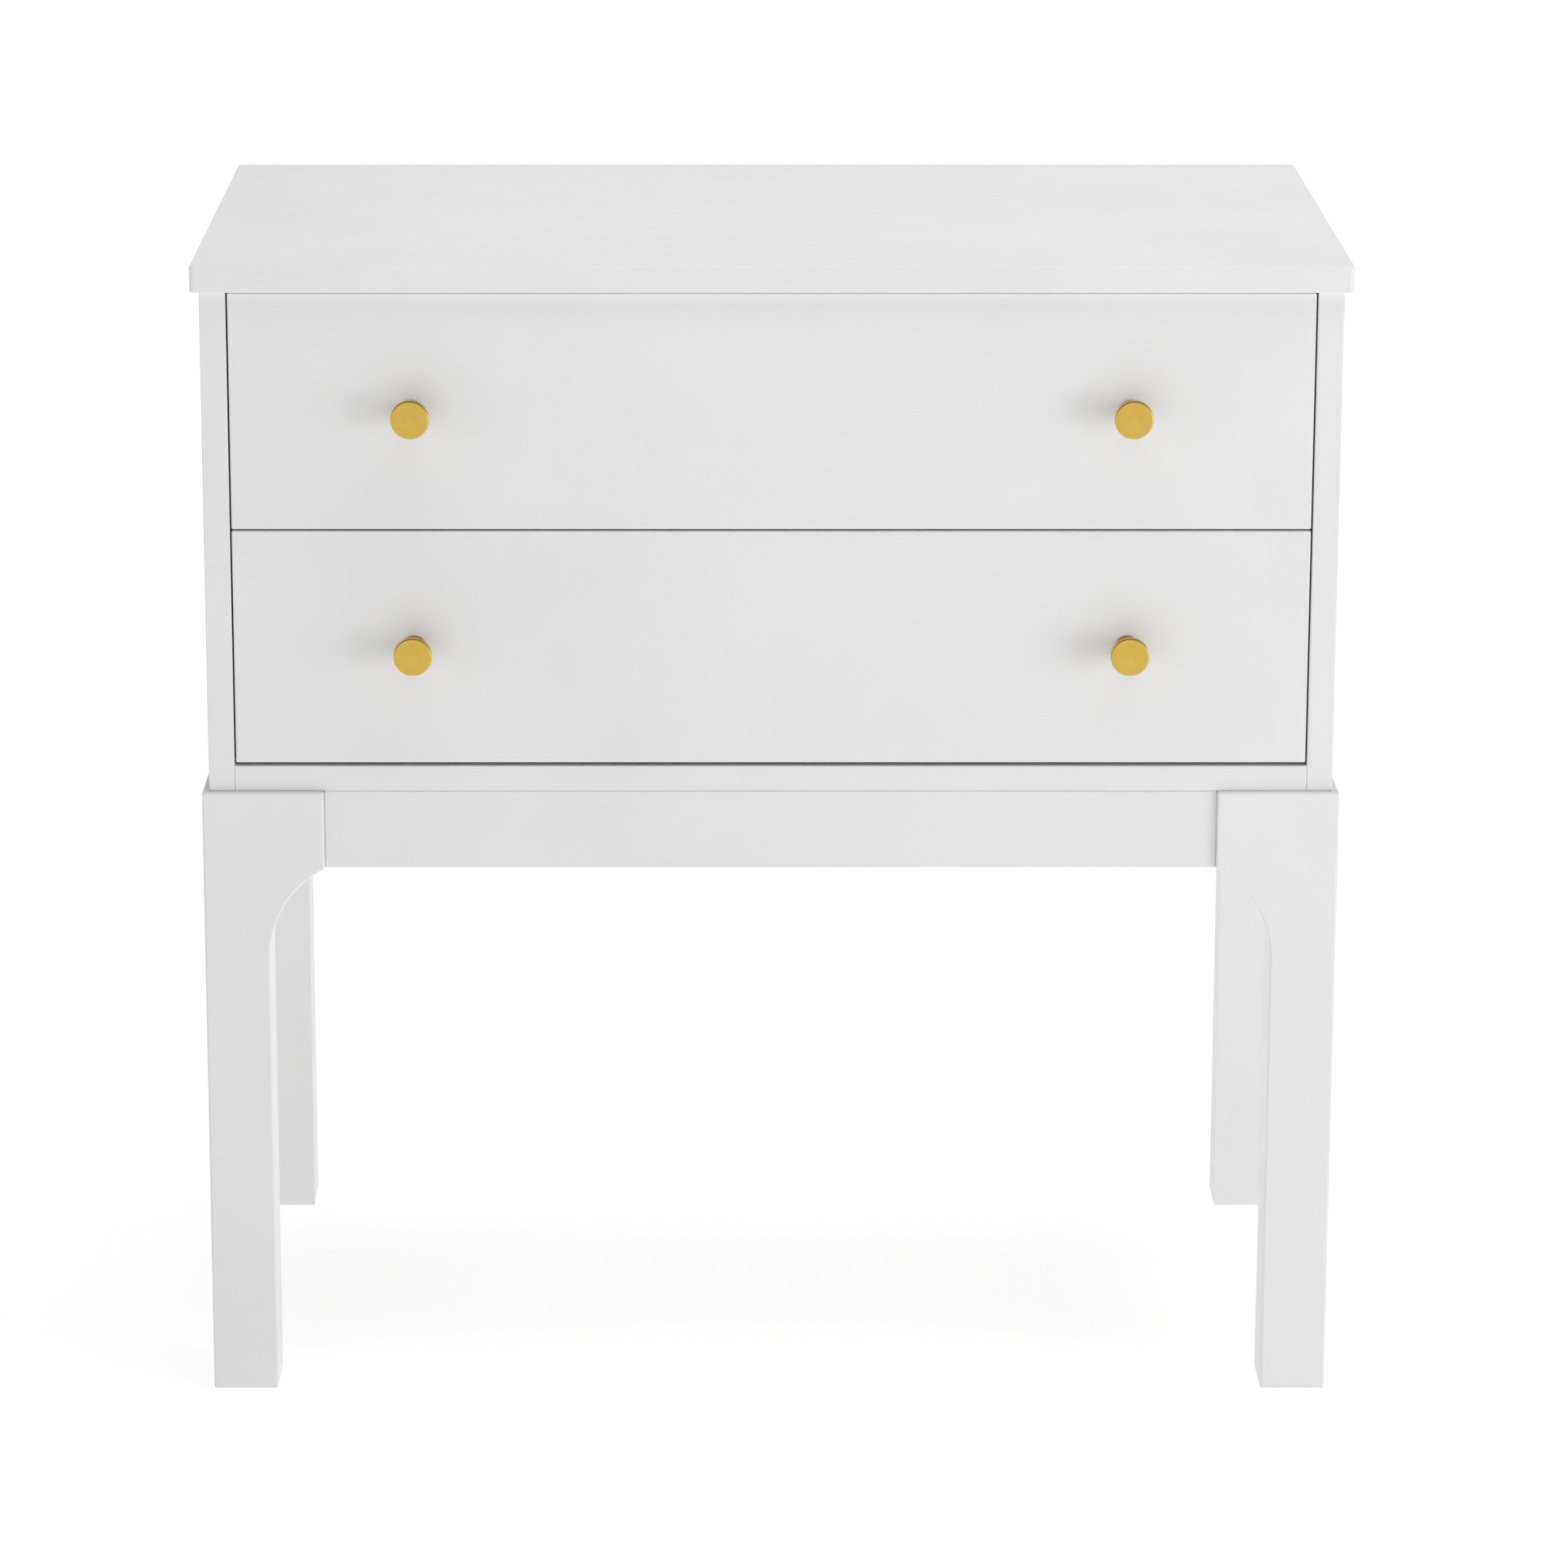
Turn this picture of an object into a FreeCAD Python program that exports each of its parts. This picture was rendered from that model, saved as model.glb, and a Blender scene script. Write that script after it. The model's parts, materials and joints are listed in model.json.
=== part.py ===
import FreeCAD, Part

# Nightstand with two inset drawers: a board case standing on a separate frame of four
# bracketed legs.  +Z is up, the drawers open towards -Y, +X is to the right.  The origin
# is on the floor, under the middle of the whole object.  Every size is in millimetres.
#
# A size or a place is a short formula over the words in DIMENSIONS and FORMULAS.  bound()
# turns it into an expression on the spreadsheet and number() into its value.  Each piece
# is drawn from its own lowest corner, so its formulas are distances from its own faces.

import os
import re

import Sketcher
from FreeCAD import Placement, Rotation, Vector

DIMENSIONS = {
    # whole object
    "overall_width": 660,
    "overall_height": 673,
    "case_depth": 375,
    "knob_reach": 25,
    "top_overhang": 5,
    "board": 15,
    "arris": 0.8,
    "top_corner": 3,
    # stand
    "stand_height": 365.5,
    "stand_step": 4,
    "leg_size": 38,
    "leg_arris": 1.5,
    "bracket_width": 70.5,
    "bracket_radius": 60,
    "rail_height": 46,
    "block_side": 60,
    "block_nose": 25,
    "block_height": 34,
    # back panel
    "back_thickness": 5,
    "rebate": 8,
    "back_screw_side": 4,
    # drawer fronts
    "front_gap": 1,
    "lower_gap": 2,
    "front_arris": 1,
    "knob_spacing": 410,
    # drawer boxes
    "slide_space": 12.5,
    "drawer_board": 12,
    "drawer_length": 320,
    "drawer_height": 110,
    "drawer_lift": 10,
    "base_thickness": 4,
    "base_lift": 10,
    "housing": 6,
    "back_setback": 10,
    # knobs
    "knob_diameter": 22,
    "knob_head": 4,
    "knob_edge": 0.9,
    "knob_flare": 3,
    "neck_diameter": 10,
    "foot_diameter": 14,
    "foot_height": 3,
    # drawer slides
    "slide_length": 300,
    "slide_setback": 4,
    "slide_lift": 27.5,
    "slide_height": 45,
    "slide_metal": 1.2,
    "channel_width": 10,
    "middle_start": 2.4,
    "middle_width": 8.6,
    "middle_height": 35.6,
    "rail_width": 7.7,
    "inner_height": 26.2,
    "slide_screw_end": 35,
    "ball_diameter": 3,
    "ball_pitch": 20,
    "cage_start": 80,
    "cage_length": 140,
    "cage_width": 5,
    "cage_thickness": 0.6,
    # fittings
    "cam_diameter": 15,
    "cam_depth": 12,
    "drawer_cam_depth": 10,
    "cam_setback": 34,
    "cam_slot": 1.5,
    "rod_diameter": 6,
    "rod_bore": 7,
    "thread_diameter": 5,
    "thread_length": 11,
    "near_joint": 60,
    "far_joint": 100,
    "low_cam": 30,
    "high_cam": 85,
    "dowel_diameter": 8,
    "dowel_deep": 20,
    "dowel_shallow": 10,
    "dowel_edge": 12,
    "insert_diameter": 10,
    "insert_depth": 12,
    "base_bolt": 6,
    "base_bolt_head": 6,
    "wood_screw": 3,
    "wood_screw_grip": 9,
    "wood_screw_head": 6.5,
    "thin_head": 0.9,
    "back_screw_grip": 12,
    "pan_height": 2,
    "knob_screw": 4,
    "knob_screw_head": 8,
    "knob_screw_grip": 9,
}

FORMULAS = {
    "case_half": "overall_width / 2 - top_overhang",
    "opening_half": "case_half - board",
    "back_plane": "(case_depth + knob_reach) / 2",
    "case_front": "back_plane - case_depth",
    "case_top": "overall_height - board",
    "case_height": "case_top - stand_height",
    "stand_half": "case_half + stand_step",
    "stand_front": "case_front - stand_step",
    "stand_width": "2 * stand_half",
    "stand_depth": "back_plane - stand_front",
    "rail_bottom": "stand_height - rail_height",
    "rail_thickness": "leg_size - stand_step",
    "rail_middle": "stand_step + rail_thickness / 2",
    "arc_run": "bracket_radius - bracket_width + leg_size",
    "arc_start": "rail_bottom - sqrt(bracket_radius ^ 2 - (arc_run) ^ 2)",
    "panel_depth": "case_depth - rebate",
    "front_width": "2 * (opening_half - front_gap)",
    "lower_level": "stand_height + board + lower_gap",
    "front_height": "(case_top - 2 * front_gap - lower_level) / 2",
    "upper_level": "lower_level + front_height + front_gap",
    "level_step": "front_height + front_gap",
    "box_front": "case_front + board",
    "box_half": "opening_half - slide_space",
    "box_inner": "box_half - drawer_board",
    "housed_width": "2 * (box_inner + housing)",
    "side_in_front": "opening_half - front_gap - box_half",
    "slide_front": "box_front + slide_setback",
    "slide_middle": "slide_lift + slide_height / 2",
    "lower_slide": "lower_level + drawer_lift + slide_lift",
    "upper_slide": "upper_level + drawer_lift + slide_lift",
    "rail_start": "slide_space - rail_width",
    "outer_ball": "(slide_height / 2 - slide_metal + middle_height / 2) / 2",
    "inner_ball": "(middle_height / 2 - slide_metal + inner_height / 2) / 2",
}

# plane of each axis in a body, and the way that a sketch on it faces along that axis
PLANES = {"x": ("YZ_Plane", 1), "y": ("XZ_Plane", -1), "z": ("XY_Plane", 1)}

SIDES = {"left": -1, "right": 1}
DRAWERS = {"lower": "lower_level", "upper": "upper_level"}
TINY = 1e-4

doc = FreeCAD.newDocument("Nightstand")
sheet = doc.addObject("Spreadsheet::Sheet", "dims")
pieces = []


def fill_sheet():
    """Put each driving dimension in the sheet, with its word as the cell's alias."""
    for row, (word, size) in enumerate(DIMENSIONS.items(), start=1):
        sheet.set(f"A{row}", word)
        sheet.set(f"B{row}", str(size))
        sheet.setAlias(f"B{row}", word)
    doc.recompute()


def expand(text, lookup):
    """Write out every formula's word in text, and pass each dimension's word to lookup."""
    def swap(match):
        word = match.group(0)
        if word in FORMULAS:
            return f"({expand(FORMULAS[word], lookup)})"
        return lookup(word) if word in DIMENSIONS else word
    return re.sub(r"[a-z][a-z_]*", swap, text)


def bound(text):
    """The formula as an expression over the sheet's cells."""
    return expand(text, lambda word: f"dims.{word}")


def number(text):
    """The formula's value, in millimetres."""
    plain = expand(text, lambda word: str(float(sheet.get(word))))
    return FreeCAD.Units.Quantity(plain).Value


# ---------------------------------------------------------------- drawing helpers


def new_body(label, corner, rotation=Rotation()):
    """Empty body for one sub-part, with its own lowest corner placed at corner."""
    body = doc.addObject("PartDesign::Body", label)
    body.Label = label
    body.Placement = Placement(Vector(), rotation)
    for axis, text in zip("xyz", corner):
        body.setExpression(f"Placement.Base.{axis}", bound(text))
    pieces.append(body)
    return body


def new_sketch(body, axis, level="0"):
    """Empty sketch on the body's plane across an axis, moved to a level on that axis."""
    role, facing = PLANES[axis]
    plane = next(part for part in body.Origin.OriginFeatures if part.Role == role)
    sketch = body.newObject("Sketcher::SketchObject", f"{body.Name}_sketch")
    sketch.AttachmentSupport = [(plane, "")]
    sketch.MapMode = "FlatFace"
    sketch.setExpression("AttachmentOffset.Base.z", bound(f"{facing} * ({level})"))
    return sketch


def hold(sketch, curve, end, place):
    """Tie a curve's point to its two distances from the sketch's origin."""
    for kind, axis_line, text in zip(("DistanceX", "DistanceY"), (-2, -1), place):
        if text == "0":
            sketch.addConstraint(Sketcher.Constraint("PointOnObject", curve, end, axis_line))
            continue
        start_value = number(text)
        index = sketch.addConstraint(Sketcher.Constraint(kind, -1, 1, curve, end, start_value))
        sketch.setExpression(f"Constraints[{index}]", bound(text))


def size(sketch, kind, curve, text):
    """Bind a curve's radius or diameter to a formula."""
    index = sketch.addConstraint(Sketcher.Constraint(kind, curve, number(text)))
    sketch.setExpression(f"Constraints[{index}]", bound(text))


def outline(sketch, corners, arcs=None):
    """Closed outline through the corners.  arcs gives, for the side that leaves a corner,
    the centre and the radius of a clockwise arc in place of a straight line."""
    arcs = arcs or {}
    places = [Vector(number(across), number(up), 0) for across, up in corners]
    sides = []
    for index, start in enumerate(places):
        end = places[(index + 1) % len(places)]
        if index in arcs:
            across, up, radius = arcs[index]
            centre = Vector(number(across), number(up), 0)
            circle = Part.Circle(centre, Vector(0, 0, 1), number(radius))
            arc = Part.ArcOfCircle(circle, circle.parameter(end), circle.parameter(start))
            sides.append((sketch.addGeometry(arc, False), 2, 1))
            size(sketch, "Radius", sides[-1][0], radius)
        else:
            sides.append((sketch.addGeometry(Part.LineSegment(start, end), False), 1, 2))
    for index, (curve, start_end, far_end) in enumerate(sides):
        follower, follower_start, _ = sides[(index + 1) % len(sides)]
        link = Sketcher.Constraint("Coincident", curve, far_end, follower, follower_start)
        sketch.addConstraint(link)
        hold(sketch, curve, start_end, corners[index])


def rectangle(sketch, low, high):
    """Rectangle between two opposite corners."""
    outline(sketch, [low, (high[0], low[1]), high, (low[0], high[1])])


def extrude(kind, body, sketch, axis, towards, length):
    """Pad or Pocket of a sketch, along an axis towards +1 or -1."""
    feature = body.newObject(f"PartDesign::{kind}", f"{body.Name}_{kind}")
    feature.Profile = sketch
    feature.setExpression("Length", bound(length))
    along_facing = towards * PLANES[axis][1] > 0
    feature.Reversed = along_facing == (kind == "Pocket")
    sketch.Visibility = False
    return feature


def rods(kind, body, axis, level, towards, length, diameter, centres):
    """Round pins (Pad) or holes (Pocket) along an axis, one for each centre."""
    sketch = new_sketch(body, axis, level)
    for centre in centres:
        middle = Vector(number(centre[0]), number(centre[1]), 0)
        circle = Part.Circle(middle, Vector(0, 0, 1), number(diameter) / 2)
        curve = sketch.addGeometry(circle, False)
        size(sketch, "Diameter", curve, diameter)
        hold(sketch, curve, 3, centre)
    return extrude(kind, body, sketch, axis, towards, length)


def slots(kind, body, axis, level, towards, length, boxes):
    """Rectangular ribs (Pad) or slots (Pocket) along an axis, one for each low, high pair."""
    sketch = new_sketch(body, axis, level)
    for low, high in boxes:
        rectangle(sketch, low, high)
    return extrude(kind, body, sketch, axis, towards, length)


def board(label, corner, width, depth, height):
    """Plain board with its lowest corner at corner."""
    body = new_body(label, corner)
    slots("Pad", body, "z", "0", 1, height, [(("0", "0"), (width, depth))])
    return body


def round_edges(body, radius, wanted):
    """Round the edges that wanted() picks from the body's last solid."""
    doc.recompute()
    base = body.Tip
    names = [f"Edge{count}" for count, edge in enumerate(base.Shape.Edges, start=1) if wanted(edge)]
    fillet = body.newObject("PartDesign::Fillet", f"{body.Name}_Fillet")
    fillet.Base = (base, names)
    fillet.setExpression("Radius", bound(radius))


def lies_at(edge, axis, level):
    """True where the whole edge lies in the plane across an axis at a level."""
    box = edge.BoundBox
    low, high = {"x": (box.XMin, box.XMax), "y": (box.YMin, box.YMax), "z": (box.ZMin, box.ZMax)}[axis]
    return abs(low - level) < TINY and abs(high - level) < TINY


def pairs(first, second):
    """Every pairing of the two lists."""
    return [(one, other) for one in first for other in second]


# ---------------------------------------------------------------- case


NEAR_JOINTS = ["near_joint", "case_depth - near_joint"]
FAR_JOINTS = ["far_joint", "case_depth - far_joint"]
BACK_SCREW_RISES = ["case_height / 7", "case_height / 2", "case_height * 6 / 7"]
BACK_SCREW_RUNS = ["-opening_half * 2 / 3", "0 * opening_half", "opening_half * 2 / 3"]
SLIDE_SCREWS = ["slide_screw_end", "slide_length / 2", "slide_length - slide_screw_end"]
SCREW_RISES = ["lower_slide - stand_height + slide_height / 2",
               "upper_slide - stand_height + slide_height / 2"]


def make_top():
    """Top board, drilled below for the side panels' cam bolts and dowels."""
    corner = ("-overall_width / 2", "case_front - top_overhang", "case_top")
    body = board("top_panel", corner, "overall_width", "case_depth + top_overhang", "board")
    across = ["top_overhang + board / 2", "overall_width - top_overhang - board / 2"]
    bolts = pairs(across, [f"top_overhang + {place}" for place in NEAR_JOINTS])
    dowels = pairs(across, [f"top_overhang + {place}" for place in FAR_JOINTS])
    upright = number("board")
    round_edges(body, "top_corner", lambda edge: edge.BoundBox.ZLength > upright - TINY)
    round_edges(body, "arris", lambda edge: edge.BoundBox.ZLength < TINY)
    rods("Pocket", body, "z", "0", 1, "thread_length", "thread_diameter", bolts)
    rods("Pocket", body, "z", "0", 1, "dowel_shallow", "dowel_diameter", dowels)


def make_side_panel(side):
    """Side panel with its back rebate and every hole on its inner face and top edge."""
    left = side == "left"
    corner = ("-case_half" if left else "opening_half", "case_front", "stand_height")
    body = board(f"{side}_side_panel", corner, "board", "case_depth", "case_height")
    inner, inward, outer = ("board", -1, 0) if left else ("0", 1, number("board"))
    rebate_low = "board - rebate" if left else "0"
    rebate_high = "board" if left else "rebate"
    rear_slot = [((rebate_low, "case_depth - rebate"), (rebate_high, "case_depth"))]
    slots("Pocket", body, "z", "0", 1, "case_height", rear_slot)
    top_edge = number("case_height")
    round_edges(body, "arris", lambda edge: not lies_at(edge, "z", top_edge)
                and (lies_at(edge, "x", outer) or lies_at(edge, "y", 0)))
    cams = pairs(NEAR_JOINTS, ["case_height - cam_setback"])
    rods("Pocket", body, "x", inner, inward, "cam_depth", "cam_diameter", cams)
    rod_places = pairs(["board / 2"], NEAR_JOINTS)
    rods("Pocket", body, "z", "case_height", -1, "cam_setback", "rod_bore", rod_places)
    dowel_places = pairs(["board / 2"], FAR_JOINTS)
    rods("Pocket", body, "z", "case_height", -1, "dowel_deep", "dowel_diameter", dowel_places)
    threads = pairs(FAR_JOINTS, ["board / 2"])
    rods("Pocket", body, "x", inner, inward, "thread_length", "thread_diameter", threads)
    dowels = pairs(NEAR_JOINTS, ["board / 2"])
    rods("Pocket", body, "x", inner, inward, "dowel_shallow", "dowel_diameter", dowels)
    pilots = pairs([f"slide_front - case_front + {place}" for place in SLIDE_SCREWS], SCREW_RISES)
    rods("Pocket", body, "x", inner, inward, "wood_screw_grip", "wood_screw", pilots)
    screws = pairs(["board - back_screw_side" if left else "back_screw_side"], BACK_SCREW_RISES)
    rods("Pocket", body, "y", "panel_depth", -1, "back_screw_grip", "wood_screw", screws)


def make_bottom_panel():
    """Bottom board between the sides, drilled at its ends and below."""
    corner = ("-opening_half", "case_front", "stand_height")
    body = board("bottom_panel", corner, "2 * opening_half", "panel_depth", "board")
    round_edges(body, "arris", lambda edge: lies_at(edge, "y", 0))
    cam_places = pairs(["cam_setback", "2 * opening_half - cam_setback"], FAR_JOINTS)
    rods("Pocket", body, "z", "0", 1, "cam_depth", "cam_diameter", cam_places)
    for level, inward in (("0", 1), ("2 * opening_half", -1)):
        ends = pairs(FAR_JOINTS, ["board / 2"])
        rods("Pocket", body, "x", level, inward, "cam_setback", "rod_bore", ends)
        dowels = pairs(NEAR_JOINTS, ["board / 2"])
        rods("Pocket", body, "x", level, inward, "dowel_deep", "dowel_diameter", dowels)
    inserts = base_bolt_places("opening_half", "case_front")
    rods("Pocket", body, "z", "0", 1, "insert_depth", "insert_diameter", inserts)
    screws = pairs([f"opening_half + {place}" for place in BACK_SCREW_RUNS], ["board / 2"])
    rods("Pocket", body, "y", "panel_depth", -1, "back_screw_grip", "wood_screw", screws)


def back_screw_places():
    """Centres of the back panel's screws, from its own lowest corner."""
    half = "(opening_half + rebate)"
    at_sides = ["rebate - back_screw_side", f"2 * {half} - rebate + back_screw_side"]
    along_bottom = [f"{half} + {place}" for place in BACK_SCREW_RUNS]
    return pairs(at_sides, BACK_SCREW_RISES) + pairs(along_bottom, ["board / 2"])


def make_back():
    """Thin back panel in the rebates, and the pan-head screws that hold it."""
    corner = ("-opening_half - rebate", "back_plane - rebate", "stand_height")
    width = "2 * (opening_half + rebate)"
    panel = board("back_panel", corner, width, "back_thickness", "case_height")
    places = back_screw_places()
    rods("Pocket", panel, "y", "0", 1, "back_thickness", "wood_screw", places)
    screws = new_body("back_panel_screws", corner)
    shank = "back_thickness + back_screw_grip"
    rods("Pad", screws, "y", "back_thickness", -1, shank, "wood_screw", places)
    rods("Pad", screws, "y", "back_thickness", 1, "pan_height", "wood_screw_head", places)


def make_case_dowels():
    """Dowels from the sides up into the top, and from the bottom board into the sides."""
    body = new_body("case_dowels", ("-case_half", "case_front", "stand_height"))
    uprights = pairs(["board / 2", "2 * case_half - board / 2"], FAR_JOINTS)
    length = "dowel_deep + dowel_shallow"
    rods("Pad", body, "z", "case_height - dowel_deep", 1, length, "dowel_diameter", uprights)
    level = pairs(NEAR_JOINTS, ["board / 2"])
    for start in ("board - dowel_shallow", "2 * case_half - board - dowel_deep"):
        rods("Pad", body, "x", start, 1, length, "dowel_diameter", level)


def make_case_cams():
    """Cam locks of the case, and the bolts that they pull on."""
    corner = ("-case_half", "case_front", "stand_height")
    far_side = "2 * case_half"
    rods_up = pairs(["board / 2", f"{far_side} - board / 2"], NEAR_JOINTS)
    rods_along = pairs(FAR_JOINTS, ["board / 2"])
    upper = pairs(NEAR_JOINTS, ["case_height - cam_setback"])
    low_centres = ["board + cam_setback", f"{far_side} - board - cam_setback"]

    cams = new_body("case_cam_locks", corner)
    rods("Pad", cams, "x", "board - cam_depth", 1, "cam_depth", "cam_diameter", upper)
    rods("Pad", cams, "x", f"{far_side} - board", 1, "cam_depth", "cam_diameter", upper)
    rods("Pad", cams, "z", "0", 1, "cam_depth", "cam_diameter", pairs(low_centres, FAR_JOINTS))
    bore = "cam_diameter / 2 + cam_slot"
    rods("Pocket", cams, "z", "case_height - cam_setback + cam_diameter / 2", -1, bore,
         "rod_bore", rods_up)
    rods("Pocket", cams, "x", f"{low_centres[0]} - cam_diameter / 2", 1, bore, "rod_bore", rods_along)
    rods("Pocket", cams, "x", f"{low_centres[1]} + cam_diameter / 2", -1, bore, "rod_bore", rods_along)
    cam_slots(cams, "x", "board", -1, upper)
    cam_slots(cams, "x", f"{far_side} - board", 1, upper)
    cam_slots(cams, "z", "0", 1, pairs(low_centres, FAR_JOINTS))

    bolts = new_body("case_cam_bolts", corner)
    rods("Pad", bolts, "z", "case_height", -1, "cam_setback", "rod_diameter", rods_up)
    rods("Pad", bolts, "z", "case_height", 1, "thread_length", "thread_diameter", rods_up)
    for joint, outward in (("board", -1), (f"{far_side} - board", 1)):
        rods("Pad", bolts, "x", joint, -outward, "cam_setback", "rod_diameter", rods_along)
        rods("Pad", bolts, "x", joint, outward, "thread_length", "thread_diameter", rods_along)


def cam_slots(body, axis, level, towards, centres):
    """Screwdriver slot across the face of each cam lock."""
    half_long, half_wide = "cam_diameter * 0.3", "cam_slot / 2"
    boxes = [((f"{across} - {half_long}", f"{up} - {half_wide}"),
              (f"{across} + {half_long}", f"{up} + {half_wide}")) for across, up in centres]
    slots("Pocket", body, axis, level, towards, "cam_slot", boxes)


# ---------------------------------------------------------------- stand


DOWEL_RISES = ["rail_bottom + dowel_edge", "stand_height - dowel_edge"]


def make_leg(label, across, along, quarter_turns):
    """Leg with a curved bracket each way, drawn from its outer corner on the floor."""
    body = new_body(label, (across, along, "0"), Rotation(Vector(0, 0, 1), 90 * quarter_turns))
    profile = [("0", "0"), ("leg_size", "0"), ("leg_size", "arc_start"),
               ("bracket_width", "rail_bottom"), ("bracket_width", "stand_height"),
               ("0", "stand_height")]
    curve = {2: ("leg_size + bracket_radius", "arc_start", "bracket_radius")}
    for axis in ("y", "x"):
        sketch = new_sketch(body, axis)
        outline(sketch, profile, curve)
        extrude("Pad", body, sketch, axis, 1, "leg_size")
    inside = number("leg_size") - TINY
    tangent = number("arc_start")
    round_edges(body, "leg_arris", lambda edge: not lies_at(edge, "z", tangent)
                and min(edge.BoundBox.XMin, edge.BoundBox.YMin) < inside)
    for axis in ("x", "y"):
        places = pairs(["rail_middle"], DOWEL_RISES)
        rods("Pocket", body, axis, "bracket_width", -1, "dowel_deep", "dowel_diameter", places)


def make_legs():
    """Four legs, each a quarter turn on from the one before it."""
    make_leg("front_left_leg", "-stand_half", "stand_front", 0)
    make_leg("front_right_leg", "stand_half", "stand_front", 1)
    make_leg("rear_right_leg", "stand_half", "back_plane", 2)
    make_leg("rear_left_leg", "-stand_half", "back_plane", 3)


def make_rail(label, corner, width, depth, long_axis):
    """Straight rail between two brackets, with its dowel holes at both ends."""
    body = board(label, corner, width, depth, "rail_height")
    round_edges(body, "arris", lambda edge: True)
    places = pairs(["rail_thickness / 2"], ["dowel_edge", "rail_height - dowel_edge"])
    length = width if long_axis == "x" else depth
    for level, inward in (("0", 1), (length, -1)):
        rods("Pocket", body, long_axis, level, inward, "dowel_deep", "dowel_diameter", places)


def make_rails():
    """Front and rear aprons, and the two side rails."""
    apron = "stand_width - 2 * bracket_width"
    side_length = "stand_depth - 2 * bracket_width"
    left = "-stand_half + bracket_width"
    near = "stand_front + bracket_width"
    make_rail("front_apron", (left, "case_front", "rail_bottom"), apron, "rail_thickness", "x")
    make_rail("rear_apron", (left, "back_plane - leg_size", "rail_bottom"), apron,
              "rail_thickness", "x")
    make_rail("left_side_rail", ("-case_half", near, "rail_bottom"), "rail_thickness",
              side_length, "y")
    make_rail("right_side_rail", ("case_half - rail_thickness", near, "rail_bottom"),
              "rail_thickness", side_length, "y")


def base_bolt_places(from_centre, from_front):
    """Centres of the four bolts through the corner blocks, from a corner that lies
    from_centre to the left of the middle and at from_front in depth."""
    reach = f"{from_centre} + stand_half - leg_size - block_side / 2"
    back = f"{from_centre} - stand_half + leg_size + block_side / 2"
    near = f"stand_front + leg_size + block_side / 2 - {from_front}"
    far = f"back_plane - leg_size - block_side / 2 - {from_front}"
    return pairs([back, reach], [near, far])


def make_corner_blocks():
    """Glued block in each corner of the stand, drilled for a bolt up into the case."""
    corner = ("-stand_half", "stand_front", "stand_height - block_height")
    body = new_body("corner_blocks", corner)
    sketch = new_sketch(body, "z")
    shape = [("0", "0"), ("block_side", "0"), ("block_side", "block_nose"),
             ("block_nose", "block_side"), ("0", "block_side")]
    for flip_across, flip_along in pairs((False, True), (False, True)):
        across = "stand_width - leg_size - {}" if flip_across else "leg_size + {}"
        along = "stand_depth - leg_size - {}" if flip_along else "leg_size + {}"
        outline(sketch, [(across.format(one), along.format(other)) for one, other in shape])
    extrude("Pad", body, sketch, "z", 1, "block_height")
    places = base_bolt_places("stand_half", "stand_front")
    rods("Pocket", body, "z", "0", 1, "block_height", "base_bolt", places)


def make_base_fixings():
    """Bolts that hold the case to the stand, with their threaded inserts, and the
    dowels in the stand's eight joints."""
    corner = ("-stand_half", "stand_front", "stand_height - block_height")
    places = base_bolt_places("stand_half", "stand_front")
    bolts = new_body("base_bolts", corner)
    rods("Pad", bolts, "z", "0", 1, "block_height + insert_depth", "base_bolt", places)
    rods("Pad", bolts, "z", "0", -1, "base_bolt_head", "insert_diameter", places)
    inserts = new_body("base_inserts", corner)
    rods("Pad", inserts, "z", "block_height", 1, "insert_depth", "insert_diameter", places)
    rods("Pocket", inserts, "z", "block_height", 1, "insert_depth", "base_bolt", places)

    dowels = new_body("frame_dowels", ("-stand_half", "stand_front", "0"))
    for axis, span, cross in (("x", "stand_width", "stand_depth"), ("y", "stand_depth", "stand_width")):
        centres = pairs(["rail_middle", f"{cross} - rail_middle"], DOWEL_RISES)
        for start in ("bracket_width - dowel_deep", f"{span} - bracket_width - dowel_deep"):
            rods("Pad", dowels, axis, start, 1, "2 * dowel_deep", "dowel_diameter", centres)


# ---------------------------------------------------------------- drawers


CAM_RISES = ["low_cam", "high_cam"]


def make_drawer_front(name, level):
    """Inset drawer front with the holes and the groove in its back face."""
    corner = ("-opening_half + front_gap", "case_front", level)
    body = board(f"{name}_drawer_front", corner, "front_width", "board", "front_height")
    round_edges(body, "front_arris", lambda edge: True)
    knobs = pairs(knob_runs("front_width / 2"), ["front_height / 2"])
    rods("Pocket", body, "y", "0", 1, "board", "knob_screw", knobs)
    sides = ["side_in_front + drawer_board / 2", "front_width - side_in_front - drawer_board / 2"]
    bolts = pairs(sides, [f"drawer_lift + {rise}" for rise in CAM_RISES])
    rods("Pocket", body, "y", "board", -1, "thread_length", "thread_diameter", bolts)
    low = ("front_width / 2 - housed_width / 2", "drawer_lift + base_lift")
    high = ("front_width / 2 + housed_width / 2", "drawer_lift + base_lift + base_thickness")
    slots("Pocket", body, "y", "board", -1, "housing", [(low, high)])


def knob_runs(middle):
    """Places of the two knobs across a front, from its left end."""
    return [f"{middle} - knob_spacing / 2", f"{middle} + knob_spacing / 2"]


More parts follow.
